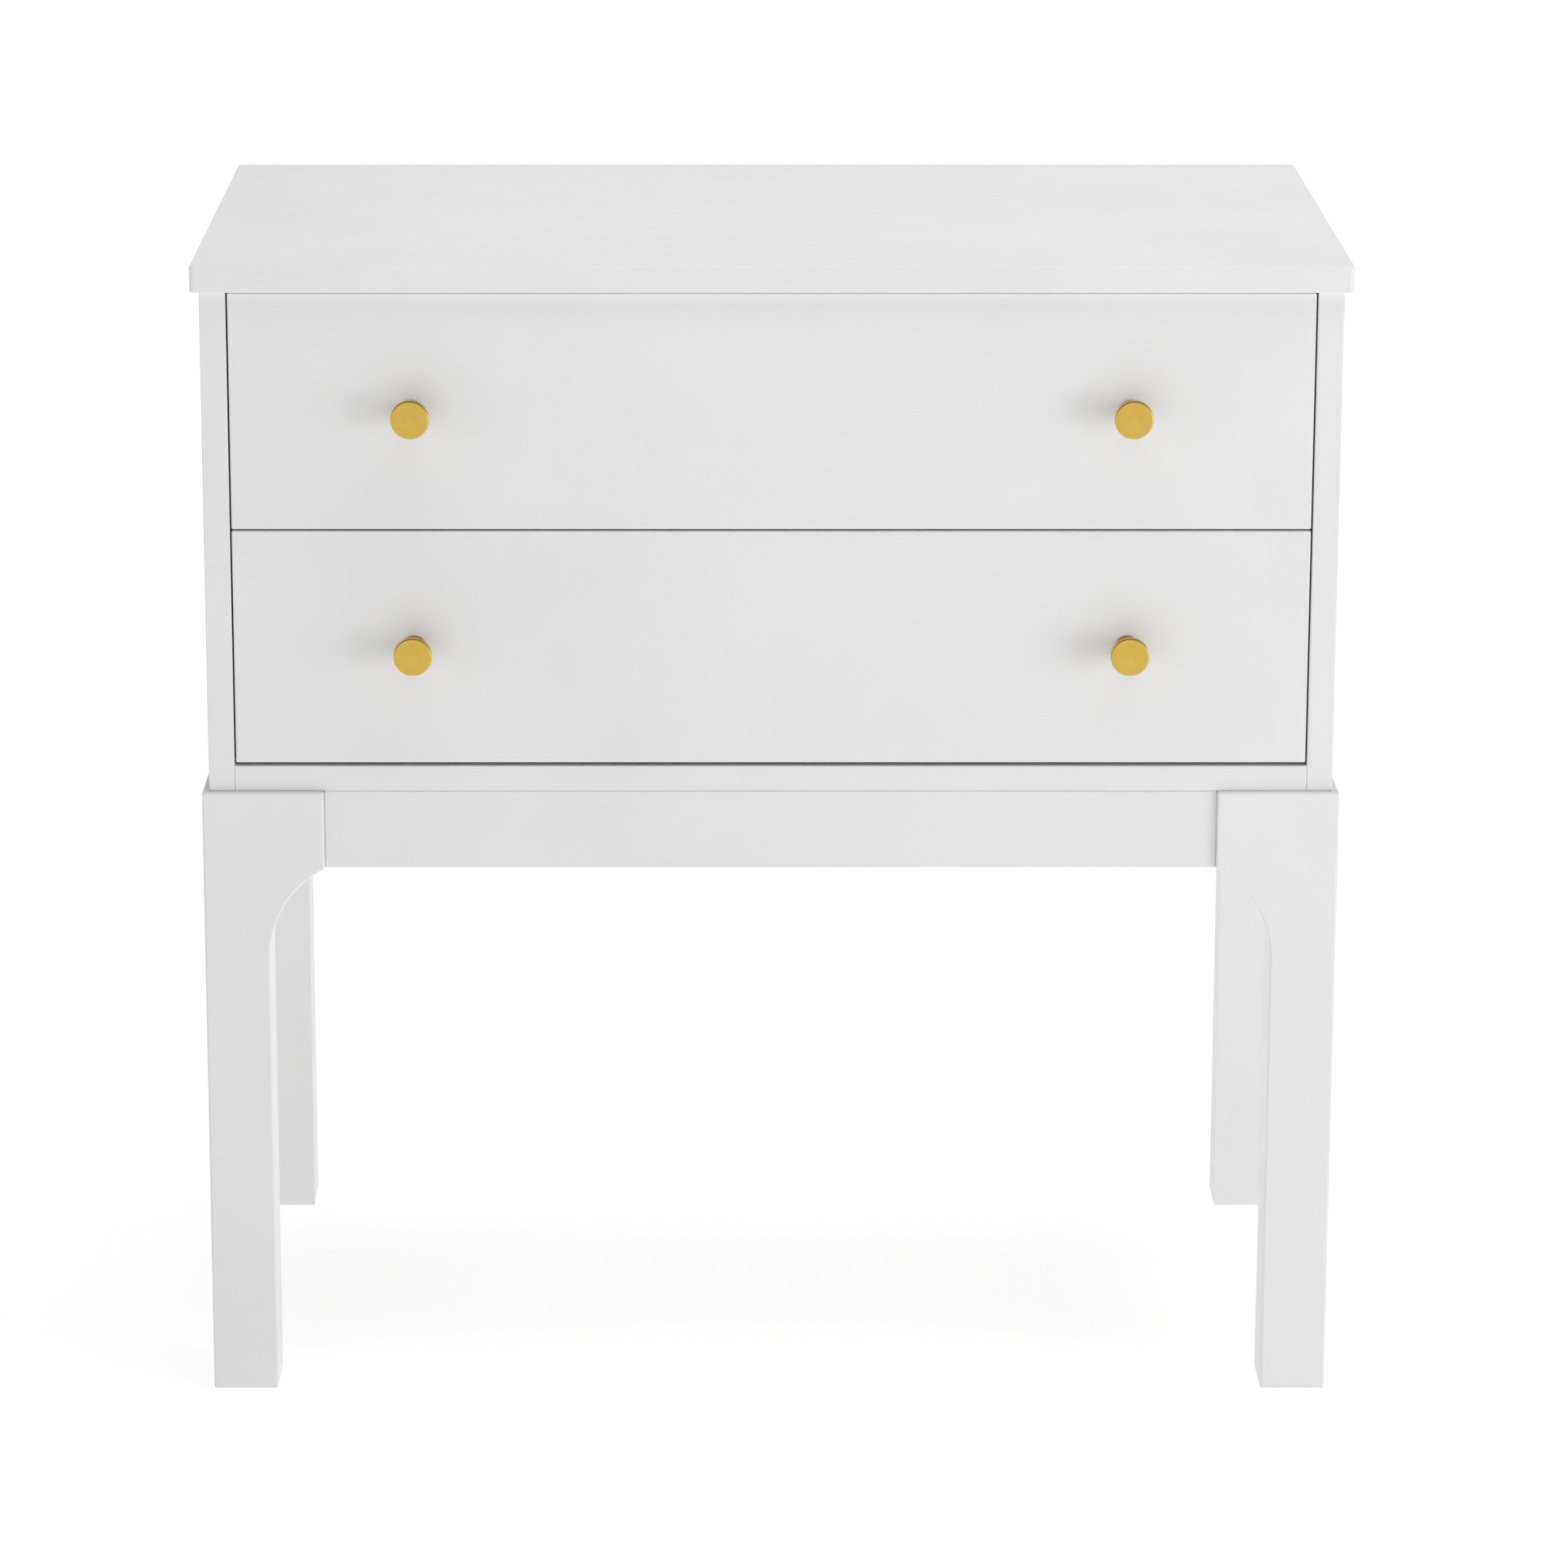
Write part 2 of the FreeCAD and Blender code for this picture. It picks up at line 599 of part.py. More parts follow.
def make_drawer_side(name, level, side):
    """Drawer side, grooved for the bottom, housed for the back and drilled for its fittings."""
    left = side == "left"
    corner = ("-box_half" if left else "box_inner", "box_front", f"{level} + drawer_lift")
    body = board(f"{name}_drawer_{side}_side", corner, "drawer_board", "drawer_length",
                 "drawer_height")
    inner, inward, outer, outward = ("drawer_board", -1, "0", 1) if left else ("0", 1, "drawer_board", -1)
    round_edges(body, "arris", lambda edge: lies_at(edge, "z", number("drawer_height")))
    groove = [(("0", "base_lift"), ("drawer_length", "base_lift + base_thickness"))]
    slots("Pocket", body, "x", inner, inward, "housing", groove)
    far = "drawer_length - back_setback"
    housing = [((f"{far} - drawer_board", "base_lift + base_thickness"), (far, "drawer_height"))]
    slots("Pocket", body, "x", inner, inward, "housing", housing)
    cams = pairs(["cam_setback"], CAM_RISES)
    rods("Pocket", body, "x", inner, inward, "drawer_cam_depth", "cam_diameter", cams)
    bores = pairs(["drawer_board / 2"], CAM_RISES)
    rods("Pocket", body, "y", "0", 1, "cam_setback", "rod_bore", bores)
    pilots = pairs([f"slide_setback + {place}" for place in SLIDE_SCREWS], ["slide_middle"])
    rods("Pocket", body, "x", outer, outward, "wood_screw_grip", "wood_screw", pilots)


def make_drawer_back(name, level):
    """Drawer back, let into both sides, above the bottom."""
    corner = ("-box_inner - housing", "box_front + drawer_length - back_setback - drawer_board",
              f"{level} + drawer_lift + base_lift + base_thickness")
    height = "drawer_height - base_lift - base_thickness"
    body = board(f"{name}_drawer_back", corner, "housed_width", "drawer_board", height)
    round_edges(body, "arris", lambda edge: lies_at(edge, "z", number(height))
                and edge.BoundBox.XLength > TINY)


def make_drawer_bottom(name, level):
    """Thin drawer bottom, held in the grooves of the front and the sides."""
    corner = ("-box_inner - housing", "box_front - housing", f"{level} + drawer_lift + base_lift")
    board(f"{name}_drawer_bottom", corner, "housed_width", "drawer_length + housing",
          "base_thickness")


def make_knob(name, level, side):
    """Turned knob: a foot, a neck that flares out, and a flat head with a small rounded edge."""
    across = f"{SIDES[side]} * knob_spacing / 2"
    body = new_body(f"{name}_{side}_knob", (across, "case_front", f"{level} + front_height / 2"),
                    Rotation(Vector(1, 0, 0), 90))
    sketch = new_sketch(body, "y")
    neck, foot, head = "neck_diameter / 2", "foot_diameter / 2", "knob_diameter / 2"
    outline(sketch, [("0", "0"), (foot, "0"), (foot, "foot_height / 2"), (neck, "foot_height"),
                     (neck, "knob_reach - knob_head - knob_flare"),
                     (head, "knob_reach - knob_head"), (head, "knob_reach"), ("0", "knob_reach")])
    turned = body.newObject("PartDesign::Revolution", f"{body.Name}_Revolution")
    turned.Profile = sketch
    turned.ReferenceAxis = (sketch, ["V_Axis"])
    turned.Angle = 360
    sketch.Visibility = False
    rim, reach = number(head), number("knob_reach")
    round_edges(body, "knob_edge", lambda edge: lies_at(edge, "z", reach)
                and edge.BoundBox.XLength > rim)
    rods("Pocket", body, "z", "0", 1, "knob_screw_grip", "knob_screw", [("0", "0")])


def make_knob_screws(name, level):
    """Machine screws through the front into the knobs, driven from inside the drawer."""
    screws = new_body(f"{name}_knob_screws", ("-opening_half", "case_front", level))
    places = pairs(knob_runs("opening_half"), ["front_height / 2"])
    rods("Pad", screws, "y", "board", -1, "board + knob_screw_grip", "knob_screw", places)
    rods("Pad", screws, "y", "board", 1, "pan_height", "knob_screw_head", places)


def make_drawer_cams(name, level):
    """Cam locks in the drawer sides, and the bolts that they pull on."""
    corner = ("-box_half", "box_front", f"{level} + drawer_lift")
    places = pairs(["drawer_board / 2", "2 * box_half - drawer_board / 2"], CAM_RISES)
    centres = pairs(["cam_setback"], CAM_RISES)
    faces = (("drawer_board", -1), ("2 * box_half - drawer_board", 1))
    cams = new_body(f"{name}_drawer_cam_locks", corner)
    for face, outward in faces:
        rods("Pad", cams, "x", face, outward, "drawer_cam_depth", "cam_diameter", centres)
    rods("Pocket", cams, "y", "cam_setback - cam_diameter / 2", 1, "cam_diameter / 2 + cam_slot",
         "rod_bore", places)
    for face, outward in faces:
        cam_slots(cams, "x", face, outward, centres)
    bolts = new_body(f"{name}_drawer_cam_bolts", corner)
    rods("Pad", bolts, "y", "0", 1, "cam_setback", "rod_diameter", places)
    rods("Pad", bolts, "y", "0", -1, "thread_length", "thread_diameter", places)


# ---------------------------------------------------------------- slides


def make_member(label, side, level, start, width, height, opens_out, drilled):
    """One C-shaped member of a slide, drawn on the left and turned half round for the
    right.  opens_out is True where its web is on the cabinet's side."""
    left = side == "left"
    turn = Rotation() if left else Rotation(Vector(0, 0, 1), 180)
    across = "-opening_half" if left else "opening_half"
    near = "slide_front" if left else "slide_front + slide_length"
    rise = f"({level} + (slide_height - {height}) / 2)"
    body = new_body(label, (across, near, rise), turn)
    sketch = new_sketch(body, "y")
    low_rim, high_rim = "slide_metal", f"{height} - slide_metal"
    web, lip = (start, f"{start} + {width}") if opens_out else (f"{start} + {width}", start)
    inner = f"{web} + slide_metal" if opens_out else f"{web} - slide_metal"
    outline(sketch, [(web, "0"), (lip, "0"), (lip, low_rim), (inner, low_rim), (inner, high_rim),
                     (lip, high_rim), (lip, height), (web, height)])
    extrude("Pad", body, sketch, "y", 1, "slide_length")
    if drilled:
        places = pairs(SLIDE_SCREWS, [f"{height} / 2"])
        towards = 1 if opens_out else -1
        rods("Pocket", body, "x", web, towards, "slide_metal", "wood_screw", places)


def make_slide_members(name, side):
    """Channel, middle member and drawer rail of one ball-bearing slide."""
    level = f"{name}_slide"
    make_member(f"{name}_{side}_slide_channel", side, level, "0", "channel_width",
                "slide_height", True, True)
    make_member(f"{name}_{side}_slide_middle", side, level, "middle_start", "middle_width",
                "middle_height", True, False)
    make_member(f"{name}_{side}_slide_rail", side, level, "rail_start", "rail_width",
                "inner_height", False, True)


def make_slide_screws():
    """Thin-head screws of all four channels, and those of each drawer's rails."""
    corner = ("-opening_half", "slide_front", "lower_slide + slide_height / 2")
    cabinet = new_body("slide_cabinet_screws", corner)
    places = pairs(SLIDE_SCREWS, ["0", "level_step"])
    for wall, inward in (("0", 1), ("2 * opening_half", -1)):
        face = f"{wall} + {inward} * slide_metal"
        grip = "wood_screw_grip + slide_metal"
        rods("Pad", cabinet, "x", face, -inward, grip, "wood_screw", places)
        rods("Pad", cabinet, "x", face, inward, "thin_head", "wood_screw_head", places)
    for name in DRAWERS:
        corner = ("-box_half", "slide_front", f"{name}_slide + slide_height / 2")
        screws = new_body(f"{name}_slide_drawer_screws", corner)
        places = pairs(SLIDE_SCREWS, ["0"])
        for wall, outward in (("0", -1), ("2 * box_half", 1)):
            face = f"{wall} + {outward} * slide_metal"
            grip = "wood_screw_grip + slide_metal"
            rods("Pad", screws, "x", face, -outward, grip, "wood_screw", places)
            rods("Pad", screws, "x", face, outward, "thin_head", "wood_screw_head", places)


def ball_row(middle):
    """One retainer strip with its balls, centred on middle: separate solids."""
    length, width, thick = number("cage_length"), number("cage_width"), number("cage_thickness")
    radius, pitch = number("ball_diameter") / 2, number("ball_pitch")
    corner = middle - Vector(width, length, thick) / 2
    strip = Part.makeBox(width, length, thick, corner)
    count = int(length // pitch)
    balls = []
    for index in range(count):
        centre = middle + Vector(0, (index - (count - 1) / 2) * pitch, 0)
        hole = Part.makeCylinder(radius + TINY, thick, centre - Vector(0, 0, thick / 2))
        strip = strip.cut(hole)
        balls.append(Part.makeSphere(radius - TINY, centre))
    return [strip] + balls


def make_ball_cages(name, row, offset, overlap):
    """Retainers and balls of both slides of a drawer, between two of the members.
    overlap is where the two members' flanges face each other, from the cabinet's wall."""
    solids = []
    across = number("opening_half") - (number(overlap[0]) + number(overlap[1])) / 2
    along = number("cage_start") + number("cage_length") / 2
    for side, above in pairs(SIDES.values(), (-1, 1)):
        middle = Vector(side * across, along, number("slide_height / 2") + above * number(offset))
        solids += ball_row(middle)
    cages = doc.addObject("Part::Feature", f"{name}_{row}_ball_cages")
    cages.Label = f"{name}_{row}_ball_cages"
    cages.Shape = Part.makeCompound(solids)
    cages.Placement = Placement(Vector(0, number("slide_front"), number(f"{name}_slide")), Rotation())
    pieces.append(cages)


# ---------------------------------------------------------------- assembly


def make_drawer(name, level):
    """Every piece of one drawer and its two slides."""
    make_drawer_front(name, level)
    make_drawer_back(name, level)
    make_drawer_bottom(name, level)
    make_knob_screws(name, level)
    make_drawer_cams(name, level)
    for side in SIDES:
        make_drawer_side(name, level, side)
        make_knob(name, level, side)
        make_slide_members(name, side)
    make_ball_cages(name, "outer", "outer_ball", ("middle_start", "channel_width"))
    make_ball_cages(name, "inner", "inner_ball", ("rail_start", "middle_start + middle_width"))


def check_document():
    """Stop on a failed object, a cut that removes nothing, or a bad sub-part."""
    for item in doc.Objects:
        if "Invalid" in item.State or "Error" in item.State:
            raise RuntimeError(f"{item.Name} failed: {item.State}")
        if item.TypeId == "PartDesign::Pocket":
            if item.BaseFeature.Shape.Volume - item.Shape.Volume < TINY:
                raise RuntimeError(f"{item.Name} cuts nothing")
    for piece in pieces:
        if piece.Shape.isNull() or not piece.Shape.isValid():
            raise RuntimeError(f"{piece.Label} has no valid shape")


def write_pieces():
    """Write each sub-part to its own file, named after its label."""
    os.makedirs("parts", exist_ok=True)
    for piece in pieces:
        piece.Shape.exportStep(f"parts/{piece.Label}.step")
        print(f"{piece.Label}: {len(piece.Shape.Solids)} solids, {piece.Shape.Volume / 1000:.1f} cm3")


fill_sheet()
make_top()
make_bottom_panel()
make_back()
make_case_dowels()
make_case_cams()
for side_name in SIDES:
    make_side_panel(side_name)
make_legs()
make_rails()
make_corner_blocks()
make_base_fixings()
make_slide_screws()
for drawer_name, drawer_level in DRAWERS.items():
    make_drawer(drawer_name, drawer_level)
doc.recompute()
check_document()
write_pieces()
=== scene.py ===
import json
import math

import bmesh
import bpy
from mathutils import Matrix, Vector


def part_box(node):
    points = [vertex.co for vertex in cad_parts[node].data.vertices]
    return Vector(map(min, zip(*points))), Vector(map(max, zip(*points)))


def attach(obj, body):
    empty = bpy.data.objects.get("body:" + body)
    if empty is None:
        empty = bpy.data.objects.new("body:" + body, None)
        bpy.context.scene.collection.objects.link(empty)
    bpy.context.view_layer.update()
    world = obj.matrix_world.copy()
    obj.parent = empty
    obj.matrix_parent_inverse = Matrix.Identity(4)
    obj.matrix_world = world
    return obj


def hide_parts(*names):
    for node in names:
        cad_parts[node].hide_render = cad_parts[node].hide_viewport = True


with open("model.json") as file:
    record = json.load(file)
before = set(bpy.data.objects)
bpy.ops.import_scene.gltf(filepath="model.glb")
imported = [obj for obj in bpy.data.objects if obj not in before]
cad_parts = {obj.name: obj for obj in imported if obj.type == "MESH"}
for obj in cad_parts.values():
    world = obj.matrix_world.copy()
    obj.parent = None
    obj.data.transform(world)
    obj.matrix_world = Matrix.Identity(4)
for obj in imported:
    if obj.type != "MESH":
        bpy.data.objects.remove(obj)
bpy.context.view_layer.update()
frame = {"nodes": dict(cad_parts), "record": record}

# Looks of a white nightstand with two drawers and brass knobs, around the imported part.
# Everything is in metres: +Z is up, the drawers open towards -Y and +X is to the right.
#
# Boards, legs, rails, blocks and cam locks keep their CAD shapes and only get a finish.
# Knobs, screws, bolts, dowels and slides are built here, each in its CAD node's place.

MM = 0.001
DRAWERS = ("lower", "upper")

# Which way each side is along X, and which material slot each CAD node is in.
SIDES = {"left": -1, "right": 1}
SLOT_OF = {name: node.material_slots[0].material.name.split(".")[0]
           for name, node in frame["nodes"].items()}

# ---------------------------------------------------------------- camera, floor and light

# The camera's place, what it looks at, its lens in millimetres and its shift in frame widths.
EYE = Vector((-0.034, -3.58, 1.254))
AIM = Vector((-0.034, -0.18, 0.371))
LENS = 139.6
SIDE_SHIFT = 0.046

# The floor glows from NEAR_GLOW by the object to FAR_GLOW, over the distances in GLOW_REACH.
# The glow is painted light on the floor itself: it keeps the floor near white and fades the
# shadows on it. Being weaker by the object, it paints a faint grey shade round it. It also lights
# the object from below.
FLOOR_RADIUS = 40.0
NEAR_GLOW = 0.74
FAR_GLOW = 0.94
GLOW_REACH = (0.8, 3.0)

# The surroundings dim from HORIZON to ZENITH as the height of a direction goes through SWEEP.
HORIZON = 1.0
ZENITH = 0.16
SWEEP = (0.12, 0.45)

# Sizes are width and height in metres, powers are in watts.
LIGHTS = {
    "overhead": dict(place=(0.3, 0.0, 2.6), aim=(0.1, 0.0, 0.6), size=(2.4, 2.0), power=45,
                     glossy=False),
    "key": dict(place=(1.9, -1.6, 0.45), aim=(0.0, -0.18, 0.45), size=(1.2, 0.8), power=11.5,
                glossy=True),
}


def make_camera():
    """Camera in front of the object, a little to its left and looking down."""
    data = bpy.data.cameras.new("camera")
    data.lens = LENS
    data.shift_x = SIDE_SHIFT
    camera = bpy.data.objects.new("camera", data)
    camera.location = EYE
    camera.rotation_euler = (AIM - EYE).to_track_quat("-Z", "Y").to_euler()
    bpy.context.collection.objects.link(camera)
    bpy.context.scene.camera = camera


def make_light(name, place, aim, size, power, glossy):
    """Soft rectangular light at place, turned towards aim and unseen by the camera.

    Reflections show it only if it is glossy."""
    data = bpy.data.lights.new(name, "AREA")
    data.shape = "RECTANGLE"
    data.size, data.size_y = size
    data.energy = power
    light = bpy.data.objects.new(name, data)
    light.location = place
    light.rotation_euler = (Vector(aim) - Vector(place)).to_track_quat("-Z", "Y").to_euler()
    light.visible_camera = False
    light.visible_glossy = glossy
    bpy.context.collection.objects.link(light)


def make_surroundings():
    """White sweep: brightest at the horizon, dimmer overhead."""
    world = bpy.data.worlds.new("surroundings")
    world.use_nodes = True
    tree = world.node_tree
    direction = add_node(tree, "TexCoord").outputs["Generated"]
    height = add_node(tree, "SeparateXYZ", {"Vector": direction}).outputs["Z"]
    background = tree.nodes["Background"]
    background.inputs["Color"].default_value = (1, 1, 1, 1)
    strength = spread(tree, height, HORIZON, ZENITH, *SWEEP)
    tree.links.new(strength, background.inputs["Strength"])
    bpy.context.scene.world = world
    bpy.context.scene.view_settings.view_transform = "Standard"


def make_floor():
    """Wide pale disc under the feet, with a slight glow of its own: painted light that keeps it
    near white.
    """
    shape = bmesh.new()
    bmesh.ops.create_circle(shape, cap_ends=True, segments=96, radius=FLOOR_RADIUS)
    floor = mesh_object("floor", shape, pale_floor())


# ---------------------------------------------------------------- materials


def add_node(tree, kind, inputs=None, **settings):
    """Add a shader node.  A socket in inputs is linked, any other value is set."""
    made = tree.nodes.new(f"ShaderNode{kind}")
    for word, value in settings.items():
        setattr(made, word, value)
    for socket, value in (inputs or {}).items():
        if isinstance(value, bpy.types.NodeSocket):
            tree.links.new(value, made.inputs[socket])
        else:
            made.inputs[socket].default_value = value
    return made


def new_material(name, constants):
    """Material with a Principled shader, its constant values set on the shader's sockets."""
    material = bpy.data.materials.new(name)
    material.use_nodes = True
    shader = material.node_tree.nodes["Principled BSDF"]
    for socket, value in constants.items():
        shader.inputs[socket].default_value = value
    return material, material.node_tree, shader


def coordinates(tree, stretch=(1, 1, 1)):
    """Object coordinates, scaled along each axis."""
    place = add_node(tree, "TexCoord").outputs["Object"]
    return add_node(tree, "Mapping", {"Vector": place, "Scale": stretch}).outputs["Vector"]


def ring_coordinates(tree):
    """Distance from the object's Z axis and height along it: the same all the way round."""
    place = add_node(tree, "TexCoord").outputs["Object"]
    flat = add_node(tree, "VectorMath", {0: place, 1: (1, 1, 0)}, operation="MULTIPLY")
    radius = add_node(tree, "VectorMath", {0: flat.outputs["Vector"]}, operation="LENGTH")
    height = add_node(tree, "SeparateXYZ", {"Vector": place}).outputs["Z"]
    inputs = {"X": radius.outputs["Value"], "Z": height}
    return add_node(tree, "CombineXYZ", inputs).outputs["Vector"]


def noise(tree, where, scale, detail=3.0):
    """Noise from 0 to 1 at where, with about scale features to the metre."""
    inputs = {"Vector": where, "Scale": scale, "Detail": detail}
    return add_node(tree, "TexNoise", inputs).outputs["Fac"]


def spread(tree, factor, low, high, start=0.3, end=0.7):
    """Map factor from start..end to low..high."""
    inputs = {"Value": factor, "From Min": start, "From Max": end, "To Min": low, "To Max": high}
    return add_node(tree, "MapRange", inputs).outputs["Result"]


def tint(tree, factor, first, second):
    """Blend from the first colour to the second by factor; the first may be a socket."""
    if not isinstance(first, bpy.types.NodeSocket):
        first = (*first, 1)
    inputs = {"Fac": factor, "Color1": first, "Color2": (*second, 1)}
    return add_node(tree, "MixRGB", inputs).outputs["Color"]


def relief(tree, shader, height, depth):
    """Bump of the given depth in metres on the shader's normal."""
    bump = add_node(tree, "Bump", {"Height": height, "Distance": depth, "Strength": 1.0})
    tree.links.new(bump.outputs["Normal"], shader.inputs["Normal"])


def connect(tree, shader, colour, gloss):
    """Link a colour and a roughness to the shader."""
    tree.links.new(colour, shader.inputs["Base Color"])
    tree.links.new(gloss, shader.inputs["Roughness"])


def pale_floor():
    """Matt white floor, with a glow that grows away from the object: painted light that keeps it
    near white, and a faint painted shade near the object where the glow is weakest.
    """
    constants = {"Specular IOR Level": 0.0, "Emission Color": (1, 1, 1, 1)}
    material, tree, shader = new_material("pale_floor", constants)
    where = coordinates(tree)
    away = add_node(tree, "VectorMath", {0: where}, operation="LENGTH").outputs["Value"]
    # Painted light: the floor's own glow, weakest by the object, where it leaves a faint painted
    # shade.
    glow = spread(tree, away, NEAR_GLOW, FAR_GLOW, *GLOW_REACH)
    tree.links.new(glow, shader.inputs["Emission Strength"])
    cloud = noise(tree, where, scale=2.0)
    colour = tint(tree, cloud, (0.44, 0.44, 0.44), (0.46, 0.46, 0.46))
    connect(tree, shader, colour, spread(tree, cloud, low=0.9, high=1.0))
    return material


def white_lacquer():
    """Satin lacquer: nearly even white with a faint orange peel and slow waves."""
    material, tree, shader = new_material("satin_white_lacquer", {"IOR": 1.5})
    where = coordinates(tree)
    waves = spread(tree, noise(tree, where, scale=9.0), low=0, high=1)
    colour = tint(tree, waves, (0.765, 0.765, 0.765), (0.79, 0.79, 0.79))
    patches = noise(tree, where, scale=60.0)
    connect(tree, shader, colour, spread(tree, patches, low=0.36, high=0.46))
    peel = noise(tree, where, scale=650.0, detail=1.0)
    relief(tree, shader, peel, depth=0.02 * MM)
    return material


def box_foil():
    """Printed foil on the drawers' boards: off-white with faint long fibres."""
    material, tree, shader = new_material("drawer_box_foil", {"IOR": 1.45})
    fibres = noise(tree, coordinates(tree, stretch=(8, 1, 8)), scale=220.0)
    shade = spread(tree, fibres, low=0, high=1)
    colour = tint(tree, shade, (0.72, 0.715, 0.70), (0.79, 0.785, 0.77))
    connect(tree, shader, colour, spread(tree, fibres, low=0.42, high=0.56))
    relief(tree, shader, fibres, depth=0.03 * MM)
    return material


def painted_fibreboard():
    """Thin board with a white print over pressed fibres."""
    material, tree, shader = new_material("painted_fibreboard", {"IOR": 1.45})
    where = coordinates(tree)
    flecks = noise(tree, where, scale=900.0, detail=5.0)
    shade = spread(tree, flecks, low=0, high=1)
    colour = tint(tree, shade, (0.68, 0.668, 0.642), (0.75, 0.74, 0.72))
    patches = noise(tree, where, scale=40.0)
    connect(tree, shader, colour, spread(tree, patches, low=0.5, high=0.6))
    relief(tree, shader, flecks, depth=0.05 * MM)
    return material


def beech():
    """Unfinished beech: fine long grain with a few short darker flecks."""
    material, tree, shader = new_material("raw_beech", {"IOR": 1.4})
    grain = noise(tree, coordinates(tree, stretch=(1, 20, 20)), scale=30.0, detail=5.0)
    flecks = noise(tree, coordinates(tree, stretch=(1, 6, 6)), scale=200.0, detail=2.0)
    shade = spread(tree, grain, low=0, high=1)
    wood = tint(tree, shade, (0.52, 0.34, 0.19), (0.66, 0.47, 0.29))
    mask = spread(tree, flecks, low=0, high=0.35, start=0.64, end=0.74)
    colour = tint(tree, mask, wood, (0.36, 0.21, 0.11))
    connect(tree, shader, colour, spread(tree, grain, low=0.6, high=0.75))
    relief(tree, shader, grain, depth=0.08 * MM)
    return material


def metal(name, colours, gloss, marks, depth, stretch=(1, 1, 1)):
    """Metal whose gloss and relief follow fine marks, with slow changes of colour.

    marks is their number to the metre, before stretch draws them out along an axis."""
    material, tree, shader = new_material(name, {"Metallic": 1.0})
    lines = noise(tree, coordinates(tree, stretch), marks, detail=4.0)
    cloud = noise(tree, coordinates(tree), marks / 12)
    colour = tint(tree, spread(tree, cloud, low=0, high=1), *colours)
    connect(tree, shader, colour, spread(tree, lines, *gloss))
    relief(tree, shader, lines, depth)
    return material


def satin_brass():
    """Turned brass: fine lathe marks round the axis, over slow changes of colour."""
    constants = {"Metallic": 1.0, "Anisotropic": 0.3}
    material, tree, shader = new_material("satin_brass", constants)
    lines = noise(tree, ring_coordinates(tree), scale=1500.0, detail=4.0)
    cloud = noise(tree, coordinates(tree), scale=90.0)
    shade = spread(tree, cloud, low=0, high=1)
    colour = tint(tree, shade, (0.575, 0.38, 0.07), (0.64, 0.44, 0.10))
    connect(tree, shader, colour, spread(tree, lines, low=0.25, high=0.41))
    relief(tree, shader, lines, depth=0.012 * MM)
    return material


def plated_sheet():
    """Zinc-plated steel sheet, with rolling marks along the slides."""
    return metal("zinc_plated_steel", colours=((0.56, 0.59, 0.62), (0.68, 0.69, 0.70)),
                 gloss=(0.24, 0.42), marks=120.0, depth=0.02 * MM, stretch=(12, 1, 12))


def polished_steel():
    """Bright steel of the balls and their retainers."""
    return metal("polished_steel", colours=((0.62, 0.62, 0.63), (0.76, 0.76, 0.77)),
                 gloss=(0.10, 0.20), marks=900.0, depth=0.002 * MM)


def cast_zinc():
    """Dull, slightly rough casting."""
    return metal("cast_zinc", colours=((0.40, 0.41, 0.43), (0.54, 0.55, 0.56)),
                 gloss=(0.42, 0.60), marks=1400.0, depth=0.04 * MM)


def plated_screws():
    """Zinc-plated fasteners, a little yellow in places."""
    return metal("zinc_plated_screws", colours=((0.60, 0.60, 0.56), (0.70, 0.71, 0.72)),
                 gloss=(0.22, 0.38), marks=800.0, depth=0.01 * MM)


# One finish for each material slot.
FINISHES = {
    "white_lacquer": white_lacquer(),
    "drawer_box": box_foil(),
    "back_board": painted_fibreboard(),
    "raw_wood": beech(),
    "brass": satin_brass(),
    "slide_steel": plated_sheet(),
    "bearing_steel": polished_steel(),
    "cast_zinc": cast_zinc(),
    "zinc_screws": plated_screws(),
}


def finish_nodes():
    """Give every CAD node the finish of its slot."""
    for node in frame["nodes"].values():
        for slot in node.material_slots:
            slot.material = FINISHES[slot.material.name.split(".")[0]]


# ---------------------------------------------------------------- mesh helpers

# Points round a turned shape, the angle from which an edge is sharp, and how near points merge.
SEGMENTS = 32
SHARP_ANGLE = math.radians(32)
WELD = 0.002 * MM


def mesh_object(name, shape, finish):
    """Object made from a bmesh, which is freed."""
    bmesh.ops.remove_doubles(shape, verts=shape.verts, dist=WELD)
    bmesh.ops.recalc_face_normals(shape, faces=shape.faces)
    data = bpy.data.meshes.new(name)
    shape.to_mesh(data)
    shape.free()
    data.shade_smooth()
    data.set_sharp_from_angle(angle=SHARP_ANGLE)
    data.materials.append(finish)
    made = bpy.data.objects.new(name, data)
    bpy.context.collection.objects.link(made)
    return made


def body_with(node):
    """Name of the body that holds a CAD node."""
    groups = frame["record"]["behaviour"]["bodies"]
    return next(body for body, members in groups.items() if node in members)


def take_over(piece, node):
    """Show the piece in place of a CAD node, on the node's body.

    Its normals are weighted by area, so that flat faces beside round edges look flat."""
    normals = piece.modifiers.new("normals", "WEIGHTED_NORMAL")
    normals.keep_sharp = True
    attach(piece, body_with(node))
    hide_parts(node)


def solids(node):
    """Points of each separate solid in a CAD node, in the order of the mesh."""
    shape = bmesh.new()
    shape.from_mesh(frame["nodes"][node].data)
    bmesh.ops.remove_doubles(shape, verts=shape.verts, dist=WELD)
    seen = set()
    found = []
    for start in shape.verts:
        if start in seen:
            continue
        seen.add(start)
        island = [start]
        for vert in island:  # the island grows while it is walked
            near = [edge.other_vert(vert) for edge in vert.link_edges]
            new = [other for other in near if other not in seen]
            seen.update(new)
            island.extend(new)
        found.append([vert.co.copy() for vert in island])
    shape.free()
    return found


def corners(points):
    """Lowest and highest corner of some points."""
    low = Vector([min(point[axis] for point in points) for axis in range(3)])
    high = Vector([max(point[axis] for point in points) for axis in range(3)])
    return low, high


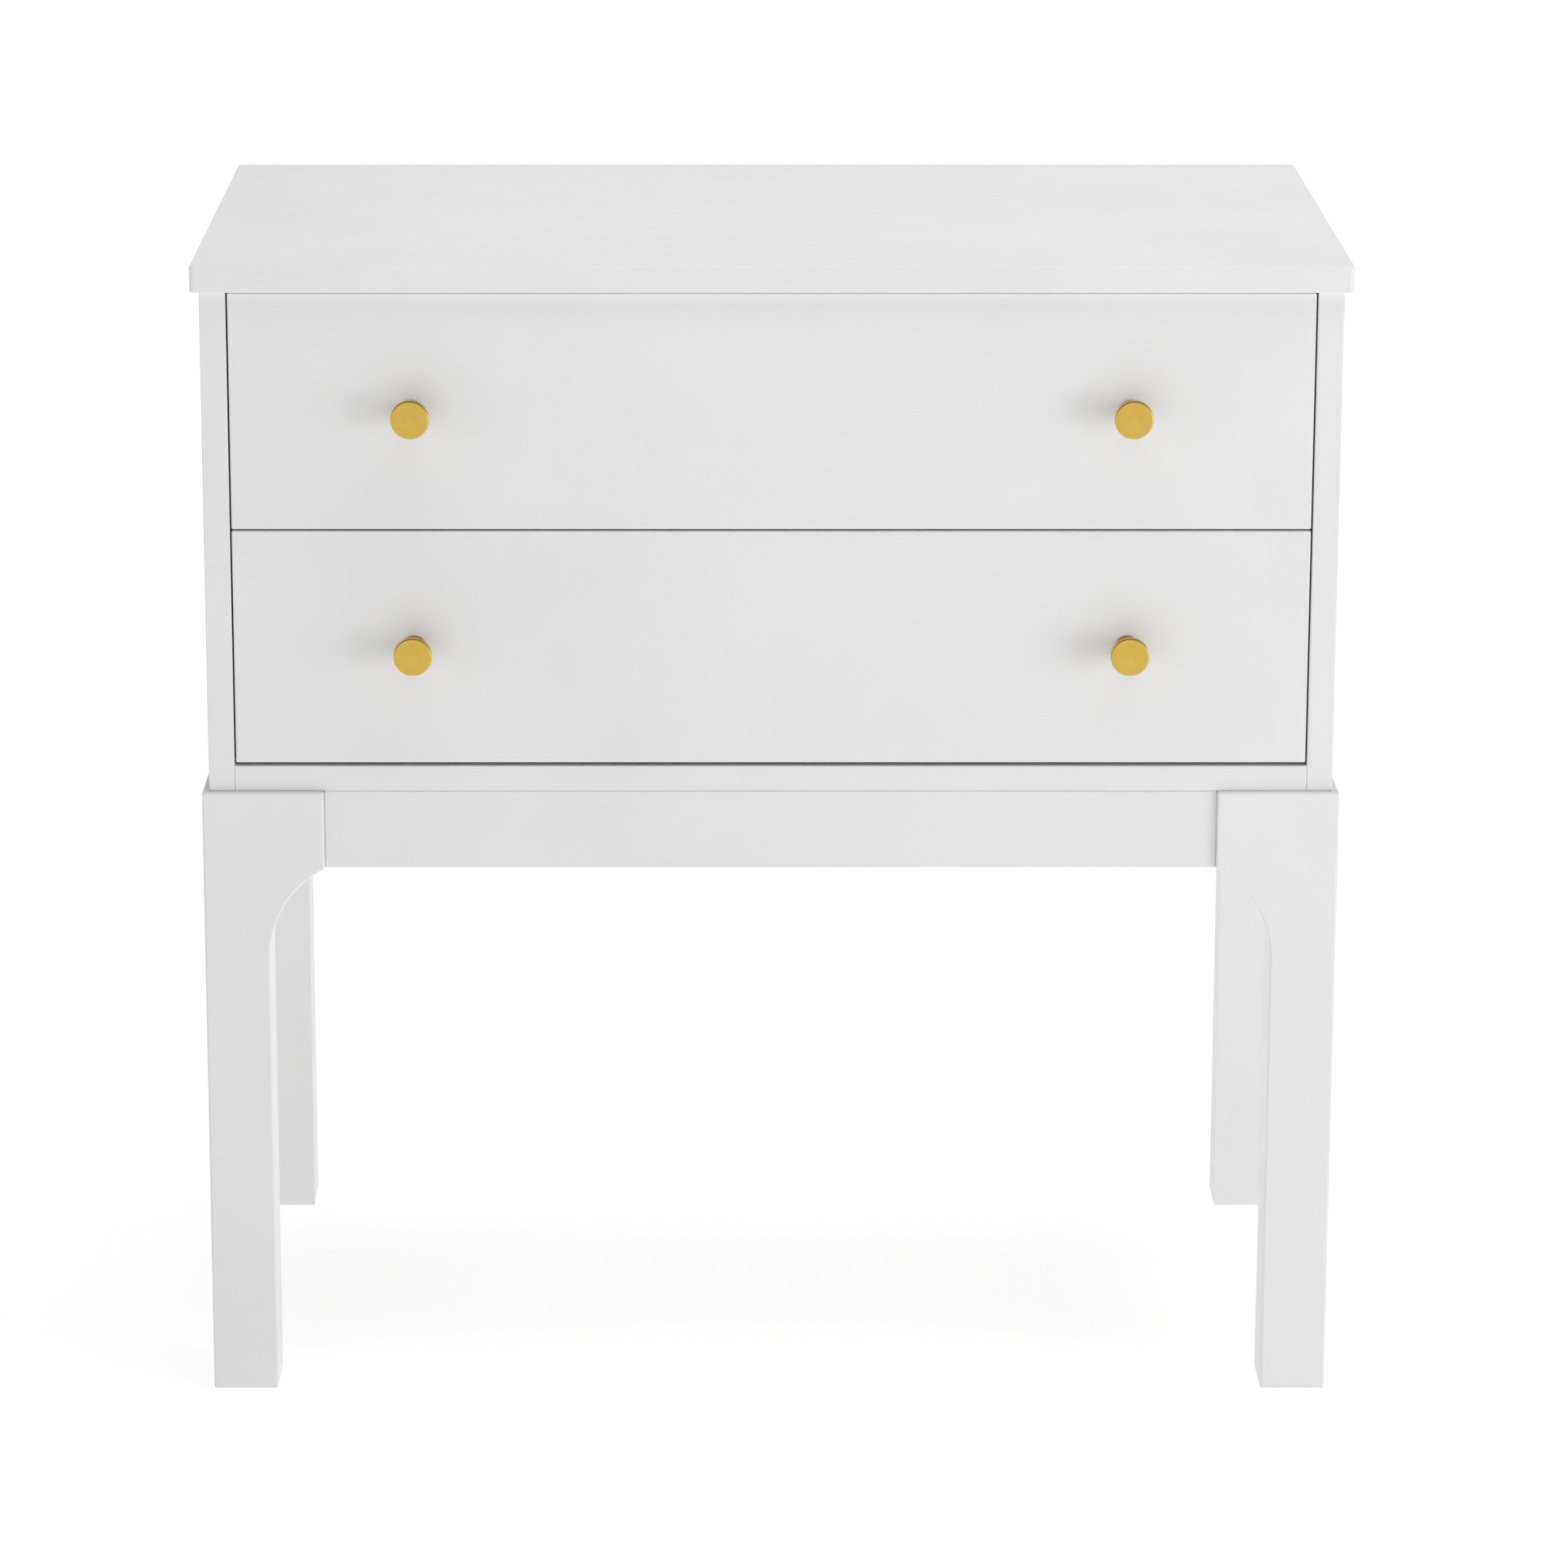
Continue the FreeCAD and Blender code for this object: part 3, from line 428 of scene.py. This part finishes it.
def fastener_place(points):
    """Frame of a turned solid: its origin is on the wider end and +Z points out of it.

    Returns the frame and the solid's length."""
    low, high = corners(points)
    size = high - low
    odd = max(range(3), key=lambda axis: abs(2 * size[axis] - size[axis - 1] - size[axis - 2]))
    middle = (low + high) / 2
    across = [axis for axis in range(3) if axis != odd]

    def width(level):
        rim = [point for point in points if abs(point[odd] - level) < 0.01 * MM]
        return max(abs(point[axis] - middle[axis]) for axis in across for point in rim)

    outward = Vector((0, 0, 0))
    outward[odd] = 1 if width(high[odd]) > width(low[odd]) else -1
    origin = middle.copy()
    origin[odd] = high[odd] if outward[odd] > 0 else low[odd]
    turn = outward.to_track_quat("Z", "Y").to_matrix().to_4x4()
    return Matrix.Translation(origin) @ turn, size[odd]


def ring(shape, radii, level, place):
    """Ring of vertices round +Z at a level, one at each of the radii."""
    verts = []
    for index, radius in enumerate(radii):
        turn = 2 * math.pi * index / len(radii)
        spot = Vector((radius * math.cos(turn), radius * math.sin(turn), level))
        verts.append(shape.verts.new(place @ spot))
    return verts


def bridge(shape, *rings):
    """Faces between each two rings in a row, all of the same length."""
    for first, second in zip(rings, rings[1:]):
        for index in range(len(first)):
            shape.faces.new((first[index - 1], first[index], second[index], second[index - 1]))


def turned(shape, profile, place, segments=SEGMENTS):
    """Skin through a profile of (radius, level) pairs; returns its first and last ring."""
    rings = [ring(shape, [radius] * segments, level, place) for radius, level in profile]
    bridge(shape, *rings)
    return rings[0], rings[-1]


def arc(centre, radius, start, end, steps):
    """Points of an arc in a plane, from start to end degrees."""
    turns = [math.radians(start + (end - start) * step / steps) for step in range(steps + 1)]
    return [(centre[0] + radius * math.cos(turn), centre[1] + radius * math.sin(turn))
            for turn in turns]


def shoulder(inner, outer, drop, steps):
    """Quarter of an ellipse in a profile, from the top at inner down by drop at outer."""
    turns = [math.pi / 2 * step / steps for step in range(steps + 1)]
    return [(inner + (outer - inner) * math.sin(turn), drop * (math.cos(turn) - 1))
            for turn in turns]


def circle(centre, radius, points=24):
    """Outline of a circle."""
    return arc(centre, radius, 0, 360 - 360 / points, points - 1)


def loop(shape, outline, level, place):
    """Closed loop of vertices and edges through an outline at a level."""
    verts = [shape.verts.new(place @ Vector((*point, level))) for point in outline]
    edges = [shape.edges.new((verts[index - 1], verts[index])) for index in range(len(verts))]
    return verts, edges


def socket_face(shape, rim, outline, depth, place):
    """Flat face at the top, inside the rim ring, with a tapered socket of the given outline."""
    narrowing = 0.8
    rim_edges = [shape.edges.get((rim[index - 1], rim[index])) for index in range(len(rim))]
    mouth, mouth_edges = loop(shape, outline, 0, place)
    bmesh.ops.triangle_fill(shape, edges=rim_edges + mouth_edges, use_beauty=True)
    bottom = [shape.verts.new(place @ Vector((narrowing * x, narrowing * y, -depth)))
              for x, y in outline]
    bridge(shape, mouth, bottom)
    shape.faces.new(bottom)


def cross_outline(reach, width):
    """Outline of a cross recess."""
    half = width / 2
    quarter = [(reach, -half), (reach, half), (half, half)]
    outline = []
    for turns in range(4):
        for x, y in quarter:
            for _ in range(turns):
                x, y = -y, x
            outline.append((x, y))
    return outline


def thread(shape, top, length, crest, root, pitch, place, start, tip=0.0):
    """Helical thread hanging from the top ring at level start, closed at the bottom.

    crest and root are radii.  The last part, of length tip, narrows to a blunt point."""
    rings_per_turn, steepness, blunt, run_out = 6, 3.2, 0.08, 0.15
    steps = max(8, int(length * rings_per_turn / pitch))
    rings = [top]
    for step in range(steps + 1):
        depth = length * step / steps
        narrowing = min(1.0, (length - depth) / tip + blunt) if tip else 1.0
        fade = min(1.0, depth / pitch, (length - depth) / pitch + run_out)
        radii = []
        for index in range(SEGMENTS):
            phase = (depth / pitch + index / SEGMENTS) % 1.0
            rise = max(0.0, 1 - abs(phase - 0.5) * steepness) * fade
            radii.append((root + (crest - root) * rise) * narrowing)
        rings.append(ring(shape, radii, start - depth, place))
    bridge(shape, *rings)
    shape.faces.new(rings[-1])


# ---------------------------------------------------------------- fasteners


def pan_screw(shape, place, length, head_radius, head_height, shank, pitch, tip):
    """Pan-head screw with a cross recess, its head's top at the origin.

    shank is the thread's outer radius, and tip is the length of its point."""
    flat, seat = 0.55 * head_radius, 0.94 * head_radius
    curve, side = 0.75 * head_height, 0.92 * head_height
    crown = shoulder(flat, head_radius, curve, 6)
    skirt = [(head_radius, -side), (seat, -head_height)]
    top, under = turned(shape, crown + skirt, place)
    recess = cross_outline(reach=0.46 * head_radius, width=0.2 * head_radius)
    socket_face(shape, top, recess, 0.62 * head_height, place)
    grip, root = length - head_height, 0.72 * shank
    thread(shape, under, grip, shank, root, pitch, place, -head_height, tip)


def socket_bolt(shape, place, length):
    """Cap-head bolt with a hexagon socket and a plain shank above its thread."""
    radius, height, edge, chamfer = 5 * MM, 6 * MM, 0.5 * MM, 0.3 * MM
    shank, root, pitch = 3 * MM, 2.5 * MM, 1 * MM
    socket, socket_depth = 2.9 * MM, 3.2 * MM
    plain = 0.55 * length
    crown = shoulder(radius - edge, radius, edge, 3)
    skirt = [(radius, chamfer - height), (radius - chamfer, -height)]
    top, under = turned(shape, crown + skirt, place)
    hexagon = circle((0, 0), socket, points=6)
    socket_face(shape, top, hexagon, socket_depth, place)
    neck, last = turned(shape, [(shank, -height), (shank, -plain)], place)
    bridge(shape, under, neck)
    thread(shape, last, length - plain, shank, root, pitch, place, -plain)


def fluted_dowel(shape, place, length):
    """Dowel with glue flutes and chamfered ends."""
    radius, flute, chamfer, spacing = 4 * MM, 0.25 * MM, 1 * MM, 4
    even = [radius - chamfer] * (2 * SEGMENTS)
    fluted = [radius if index % spacing else radius - flute for index in range(2 * SEGMENTS)]
    rows = [(even, 0), (fluted, -chamfer), (fluted, chamfer - length), (even, -length)]
    rings = [ring(shape, radii, level, place) for radii, level in rows]
    bridge(shape, *rings)
    shape.faces.new(rings[0])
    shape.faces.new(rings[-1])


def cam_bolt(shape, place, length):
    """Connecting bolt: a round head and a neck for the cam, a rod, a groove and a thread.

    reach is how far the bolt stands out of the board that its thread is in."""
    reach = 34 * MM
    rod, neck, groove, cone = 3 * MM, 1.7 * MM, 2.2 * MM, 2.6 * MM
    crest, root, pitch = 2.5 * MM, 1.9 * MM, 1.8 * MM
    head = [(1.6 * MM, 0), (cone, -0.5 * MM), (rod, -1.6 * MM), (cone, -2.7 * MM)]
    waist = [(neck, -3.2 * MM), (neck, -6 * MM), (2.9 * MM, -7 * MM)]
    collar = [(rod, 2.5 * MM - reach), (groove, 2.2 * MM - reach), (groove, 1.6 * MM - reach),
              (rod, 1.3 * MM - reach), (rod, -reach)]
    top, last = turned(shape, head + waist + collar, place)
    shape.faces.new(top)
    thread(shape, last, length - reach, crest, root, pitch, place, -reach)


def threaded_insert(shape, place, length):
    """Steel sleeve, ridged outside, with a bore that is wider at its mouth."""
    collar, crest, root, end = 4.6 * MM, 4.9 * MM, 4.2 * MM, 1 * MM
    mouth, bore, mouth_depth = 3.6 * MM, 3.1 * MM, 3 * MM
    steps = 10
    rise = (length - 2 * end) / steps
    outside = [(mouth, 0), (collar, 0), (collar, -end)]
    outside += [(crest if step % 2 else root, -end - rise * step) for step in range(1, steps)]
    inside = [(root, end - length), (root, -length), (bore, -length), (bore, -mouth_depth),
              (mouth, -mouth_depth), (mouth, 0)]
    turned(shape, outside + inside, place)


def each_fastener(node, build, **sizes):
    """One piece in place of a CAD node, with a detailed fastener where each solid is."""
    shape = bmesh.new()
    for points in solids(node):
        place, length = fastener_place(points)
        build(shape, place, length, **sizes)
    piece = mesh_object(f"{node}_detailed", shape, FINISHES[SLOT_OF[node]])
    take_over(piece, node)


def make_fasteners():
    """Screws, bolts, inserts and dowels."""
    back = dict(head_radius=3.25 * MM, head_height=2 * MM, shank=1.5 * MM, pitch=1.3 * MM,
                tip=3 * MM)
    thin = dict(back, head_height=0.9 * MM, pitch=1.2 * MM)
    machine = dict(head_radius=4 * MM, head_height=2 * MM, shank=2 * MM, pitch=0.7 * MM, tip=0)
    each_fastener("back_panel_screws", pan_screw, **back)
    each_fastener("slide_cabinet_screws", pan_screw, **thin)
    each_fastener("base_bolts", socket_bolt)
    each_fastener("base_inserts", threaded_insert)
    each_fastener("case_dowels", fluted_dowel)
    each_fastener("frame_dowels", fluted_dowel)
    each_fastener("case_cam_bolts", cam_bolt)
    for drawer in DRAWERS:
        each_fastener(f"{drawer}_knob_screws", pan_screw, **machine)
        each_fastener(f"{drawer}_slide_drawer_screws", pan_screw, **thin)
        each_fastener(f"{drawer}_drawer_cam_bolts", cam_bolt)


# ---------------------------------------------------------------- knobs


def make_knob(node):
    """Turned brass knob: a low foot, a waisted neck, a flare and a flat head with a soft edge."""
    low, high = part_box(node)
    head, reach = (high.x - low.x) / 2, high.y - low.y
    foot, foot_height, foot_edge = 7 * MM, 1.5 * MM, 0.6 * MM
    neck, waist, cove, flare, step = 4.9 * MM, 4.7 * MM, 1.4 * MM, 3.5 * MM, 0.3 * MM
    under, lip, edge, dish = reach - 4 * MM, 0.4 * MM, 0.9 * MM, 0.02 * MM
    profile = [(foot, 0)]
    profile += arc((foot - foot_edge, foot_height - foot_edge), foot_edge, 0, 90, 4)
    profile += arc((neck + cove, foot_height + cove), cove, 270, 180, 6)
    profile += [(waist, reach / 2)]
    profile += arc((neck + flare, under - step - flare), flare, 180, 90, 8)
    profile += arc((head - lip, under + lip), lip, -90, 0, 4)
    profile += arc((head - edge, reach - edge), edge, 0, 90, 8)
    profile += [(0.8 * head, reach), (0.4 * head, reach - dish)]
    shape = bmesh.new()
    bottom, top = turned(shape, profile, Matrix.Identity(4), 3 * SEGMENTS)
    shape.faces.new(bottom)
    shape.faces.new(top)
    piece = mesh_object(f"{node}_turned", shape, FINISHES["brass"])
    piece.location = ((low.x + high.x) / 2, high.y, (low.z + high.z) / 2)
    piece.rotation_euler = (math.radians(90), 0, 0)
    take_over(piece, node)


# ---------------------------------------------------------------- drawer slides

# Thickness of the sheet, radii of its bends, of its screw holes and of each member's curled races.
METAL = 1.2 * MM
BEND = 1.6 * MM
SCREW_HOLE = 1.55 * MM
CURLS = {"channel": 1.8 * MM, "middle": 1.6 * MM, "rail": 1.3 * MM}

# Length and width of the slots in the webs of the fixed members and of the middle member.
FIXED_SLOT = (12 * MM, 5 * MM)
MIDDLE_SLOT = (26 * MM, 8 * MM)


def slide_flange(width, height, curl):
    """Middle line of a member's upper flange, from its curled lip to the web.

    Its points are (distance from the web's face, height over the member's middle)."""
    web, top, lip = METAL / 2, (height - METAL) / 2, width - METAL / 2
    race = arc((lip - curl, top - curl), curl, 25, 90, 5)
    return race + arc((web + BEND, top - BEND), BEND, 90, 180, 5)


def oblong(centre, length, width):
    """Outline of a round-ended slot along the first axis."""
    reach = (length - width) / 2
    far = arc((centre + reach, 0), width / 2, -90, 90, 8)
    near = arc((centre - reach, 0), width / 2, 90, 270, 8)
    return far + near


def make_member(node, curl, holes, web_at_wall):
    """C-shaped slide member bent from sheet, with curled ball races and holes in its web.

    holes are outlines of (y, height over the member's middle)."""
    low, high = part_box(node)
    size = high - low
    middle = (low.z + high.z) / 2
    wall, inner = (low.x, high.x) if low.x < 0 else (high.x, low.x)
    start, end = (wall, inner) if web_at_wall else (inner, wall)
    inward = math.copysign(1, end - start)

    def spot(away, height, y):
        return Vector((start + inward * away, y, middle + height))

    flange = slide_flange(size.x, size.z, curl)
    shape = bmesh.new()
    web = []
    for side in (1, -1):
        near = [shape.verts.new(spot(away, side * height, low.y)) for away, height in flange]
        far = [shape.verts.new(spot(away, side * height, high.y)) for away, height in flange]
        for index in range(len(flange) - 1):
            shape.faces.new((near[index], near[index + 1], far[index + 1], far[index]))
        web += [near[-1], far[-1]][::side]
    # web holds its four corners in turn: the flanges gave it two edges, and it needs two more.
    edges = [shape.edges.get((web[0], web[1])), shape.edges.get((web[2], web[3])),
             shape.edges.new((web[1], web[2])), shape.edges.new((web[3], web[0]))]
    for outline in holes:
        rim = [shape.verts.new(spot(METAL / 2, height, y)) for y, height in outline]
        edges += [shape.edges.new((rim[index - 1], rim[index])) for index in range(len(rim))]
    bmesh.ops.triangle_fill(shape, edges=edges, use_beauty=True)
    piece = mesh_object(f"{node}_bent", shape, FINISHES["slide_steel"])
    sheet = piece.modifiers.new("thickness", "SOLIDIFY")
    sheet.thickness = METAL
    sheet.offset = 0
    sheet.use_even_offset = True
    take_over(piece, node)


def screw_places(node, side, level):
    """Places along Y of a node's screws on one side of the object and at about a level."""
    slack = 5 * MM
    places = []
    for points in solids(node):
        low, high = corners(points)
        middle = (low + high) / 2
        if middle.x * side > 0 and abs(middle.z - level) < slack:
            places.append(middle.y)
    return sorted(places)


def make_slide(drawer, side):
    """Channel, middle member and drawer rail of one slide."""
    name = f"{drawer}_{side}_slide"
    low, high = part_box(f"{name}_middle")
    level = (low.z + high.z) / 2
    fixed = {"channel": "slide_cabinet_screws", "rail": f"{drawer}_slide_drawer_screws"}
    for part, screws in fixed.items():
        places = screw_places(screws, SIDES[side], level)
        holes = [circle((y, 0), SCREW_HOLE) for y in places]
        holes += [oblong((one + two) / 2, *FIXED_SLOT) for one, two in zip(places, places[1:])]
        make_member(f"{name}_{part}", CURLS[part], holes, web_at_wall=part == "channel")
    slots = [low.y + (high.y - low.y) * share for share in (1 / 6, 1 / 2, 5 / 6)]
    holes = [oblong(y, *MIDDLE_SLOT) for y in slots]
    make_member(f"{name}_middle", CURLS["middle"], holes, web_at_wall=True)


def make_retainers(node):
    """Ball retainers: perforated strips and their balls.

    In the CAD node, a solid over largest_ball long is a strip, and any other is a ball."""
    largest_ball, near_across, near_level = 10 * MM, 4 * MM, 1 * MM
    shape = bmesh.new()
    boxes = [corners(points) for points in solids(node)]
    strips = [box for box in boxes if (box[1] - box[0]).y > largest_ball]
    balls = [box for box in boxes if box not in strips]
    for low, high in balls:
        spot = Matrix.Translation((low + high) / 2)
        radius = (high.y - low.y) / 2
        bmesh.ops.create_uvsphere(shape, u_segments=20, v_segments=14, radius=radius, matrix=spot)
    for low, high in strips:
        middle = (low + high) / 2
        spots = [(one + two) / 2 for one, two in balls]
        inside = sorted(spot.y for spot in spots if abs(spot.x - middle.x) < near_across
                        and abs(spot.z - middle.z) < near_level)
        add_strip(shape, low, high, inside)
    piece = mesh_object(f"{node}_detailed", shape, FINISHES["bearing_steel"])
    take_over(piece, node)


def add_strip(shape, low, high, balls):
    """Thin strip with a round hole for each ball and a window between each two.

    balls are their places along Y, in order."""
    hole, window_half, window_reach = 1.52 * MM, 1.1 * MM, 4.5 * MM
    half = (high.x - low.x) / 2
    outlines = [rectangle(half, low.y, high.y)]
    outlines += [circle((0, y), hole) for y in balls]
    for one, two in zip(balls, balls[1:]):
        middle = (one + two) / 2
        outlines.append(rectangle(window_half, middle - window_reach, middle + window_reach))
    place = Matrix.Translation(((low.x + high.x) / 2, 0, 0))
    levels = []
    for level in (low.z, high.z):
        loops = [loop(shape, outline, level, place) for outline in outlines]
        edges = [edge for _, group in loops for edge in group]
        bmesh.ops.triangle_fill(shape, edges=edges, use_beauty=True)
        levels.append([verts for verts, _ in loops])
    for below, above in zip(*levels):
        bridge(shape, below, above)


def rectangle(half, start, end):
    """Outline of a rectangle, half wide each way from the second axis."""
    return [(-half, start), (half, start), (half, end), (-half, end)]


# ---------------------------------------------------------------- assembly

make_camera()
make_surroundings()
make_floor()
for name, settings in LIGHTS.items():
    make_light(name, **settings)
make_fasteners()
for drawer in DRAWERS:
    for side in SIDES:
        make_knob(f"{drawer}_{side}_knob")
        make_slide(drawer, side)
    make_retainers(f"{drawer}_outer_ball_cages")
    make_retainers(f"{drawer}_inner_ball_cages")
finish_nodes()
